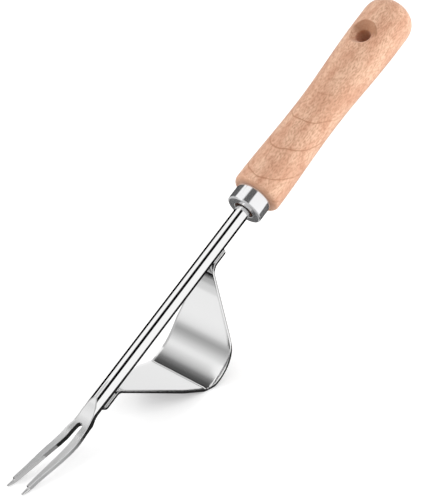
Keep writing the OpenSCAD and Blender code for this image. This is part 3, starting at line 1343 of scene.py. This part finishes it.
        camera = graph.node("ShaderNodeLightPath", output="Is Camera Ray")
        glossy = graph.node("ShaderNodeLightPath", output="Is Glossy Ray")
        diffuse = self.ambient * (1 - glossy) * (1 - camera)
        walls = self.wall_level + rod_band.most(sheet_band) * (1 - self.wall_level)
        strength = camera + glossy * rod_shade.least(sheet_shade) * walls + diffuse
        light = graph.node("ShaderNodeBackground", {}, {"Color": (1, 1, 1, 1), "Strength": strength})
        graph.node("ShaderNodeOutputWorld", {}, {"Surface": light})

    def right(self) -> Vector:
        """The direction to the camera's right."""
        return Vector((0, 0, 1)).cross(toward_eye(self.azimuth, self.elevation)).normalized()

    def card(
        self,
        name: str,
        corner: Vector,
        first: Vector,
        second: Vector,
        level: float,
        one_sided: bool = False,
    ) -> None:
        """Hangs a card that only reflections see.

        Args:
            name: the card's name.
            corner: one corner, in metres.
            first: the way along one side to the next corner.
            second: the way along the other side.
            level: the card's brightness.
            one_sided: whether it is only there for rays that come from its front.
        """
        bm = bmesh.new()
        points = (corner, corner + first, corner + first + second, corner + second)
        face = bmesh.ops.contextual_create(bm, geom=[bm.verts.new(point) for point in points])["faces"][0]
        face.normal_update()
        if face.normal.dot(first.cross(second)) < 0:
            face.normal_flip()
        card = new_object(bm, name)
        for ray in ("camera", "diffuse", "transmission", "volume_scatter", "shadow"):
            setattr(card, f"visible_{ray}", False)
        material, graph = new_material(name)
        glow = graph.node("ShaderNodeEmission", {}, {"Color": (level, level, level, 1.0)})
        if one_sided:
            behind = graph.node("ShaderNodeNewGeometry", output="Backfacing")
            clear = graph.node("ShaderNodeBsdfTransparent")
            glow = graph.node("ShaderNodeMixShader", {}, {0: behind, 1: glow, 2: clear})
        graph.node("ShaderNodeOutputMaterial", {}, {"Surface": glow})
        card.data.materials.append(material)

    def cards(self) -> None:
        """A pale card over the rod, graded dark cards of painted shade beside the front wing and dark cards
        of painted shade on the floor.
        """
        stance = self.bench.stance

        def hang(name: str, places: Sequence, level: float, one_sided: bool = False) -> None:
            """Hangs a card by three of its corners, given on the bench."""
            corner, *ends = (stance @ Vector(place) for place in places)
            self.card(name, corner, *(end - corner for end in ends), level, one_sided)

        hang("over_rod_card", ((78, 8, 60), (235, 8, 60), (78, 48, 60)), 1.0)
        lean, near, far, foot = 0.2, 4, 36, 112
        # Painted shade: graded dark cards beside the front wing, darkest next to the rod.
        for number, (low, high, level) in enumerate(self.wing_shade_steps):
            foot_x, head_x = foot - lean * low, foot - lean * high
            places = ((foot_x, near, low), (foot_x, far, low), (head_x, near, high))
            hang(f"wing_shade_card_{number}", places, level, one_sided=True)
        above_floor = 0.0004
        # Painted shade: dark cards on the floor under the fork, seen only in the steel's reflections.
        for name, x, y, length, width, level in self.floor_shade_cards:
            corner = Vector((x, y, above_floor))
            self.card(name, corner, Vector((length, 0, 0)), Vector((0, width, 0)), level)

    def softbox(self, name: str, toward: Vector, size: float, watts: float) -> None:
        """Hangs a square area light.

        Args:
            name: the light's name.
            toward: the direction from the tool to the light.
            size: its side in metres.
            watts: its power.
        """
        data = bpy.data.lights.new(name, "AREA")
        data.size = size
        data.energy = watts
        lamp = bpy.data.objects.new(name, data)
        centre = self.aim()
        place = centre + toward.normalized() * self.light_away
        turn = (centre - place).to_track_quat("-Z", "Y").to_matrix().to_4x4()
        lamp.matrix_world = Matrix.Translation(place) @ turn
        lamp.visible_glossy = False
        lamp.visible_camera = False
        bpy.context.scene.collection.objects.link(lamp)

    def set_up(self) -> None:
        """Builds the whole studio."""
        self.camera()
        self.floor()
        self.surroundings()
        self.cards()
        eye = toward_eye(self.azimuth, self.elevation)
        side = self.right()
        for name, to_right, to_eye, up, size, watts in self.boxes:
            self.softbox(name, side * to_right + eye * to_eye + Vector((0, 0, up)), size, watts)
        view = bpy.context.scene.view_settings
        view.view_transform = "Standard"
        view.look = "None"
        log.info("studio ready")


def toward_eye(azimuth: float, elevation: float) -> Vector:
    """The direction from the tool to an eye at an azimuth and an elevation in degrees."""
    a, e = math.radians(azimuth), math.radians(elevation)
    return Vector((math.sin(a) * math.cos(e), -math.cos(a) * math.cos(e), math.sin(e)))


def main() -> None:
    """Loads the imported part, makes every piece and sets up the studio."""
    logging.basicConfig(level=logging.INFO, format="%(name)s: %(message)s")
    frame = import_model()
    handle = Handle()
    bench = Bench.from_record(frame["record"], handle.hang_x)

    polished = SteelFinish(
        "polished_rod_steel", (0.93, 0.93, 0.93), 0.07, 0.01, 0.10, Grain.ALONG_ROD, dull_to=50.0
    )
    satin = SteelFinish("satin_sheet_steel", (0.93, 0.93, 0.93), 0.11, 0.02, 0.10, Grain.ACROSS_SHEET)
    chrome = SteelFinish("ferrule_chrome", (0.90, 0.90, 0.91), 0.12, 0.01, 0.08, Grain.ROUND_ROD, 0.86)
    bead = SteelFinish("weld_bead_steel", (0.86, 0.86, 0.86), 0.34, 0.06, 0.50, Grain.ROUND_ROD)

    sheet, welds, inset = Fulcrum(), Welds(), 1.0
    line = sheet.middle_line()
    starts = {"front": line[0][0] + inset, "rear": line[-1][0] - sheet.tab_len}
    weld_finish = bead.material(bench)
    pieces = [
        (ForkShaft().build(bench), "fork_shaft", "polished_steel", polished.material(bench)),
        (sheet.build(bench), "fulcrum_plate", "sheet_steel", satin.material(bench)),
        (Ferrule().build(bench), "ferrule", "ferrule_chrome", chrome.material(bench)),
        (handle.build(bench), "handle", "beech", BeechFinish().material(bench, handle)),
    ]
    for end, start in starts.items():
        beads = welds.build(bench, f"{end}_weld_beads", start, sheet.tab_len - inset)
        pieces.append((beads, f"{end}_weld", "weld_metal", weld_finish))
    for piece, node, slot, material in pieces:
        bench.deliver(piece, node, slot, material)
    glue = frame["nodes"]["tang_epoxy"]
    glue.data.materials.clear()
    glue.data.materials.append(EpoxyFinish().material(bench))
    log.info("tang_epoxy keeps its CAD shape")

    Studio(bench).set_up()


if __name__ == "__main__":
    main()
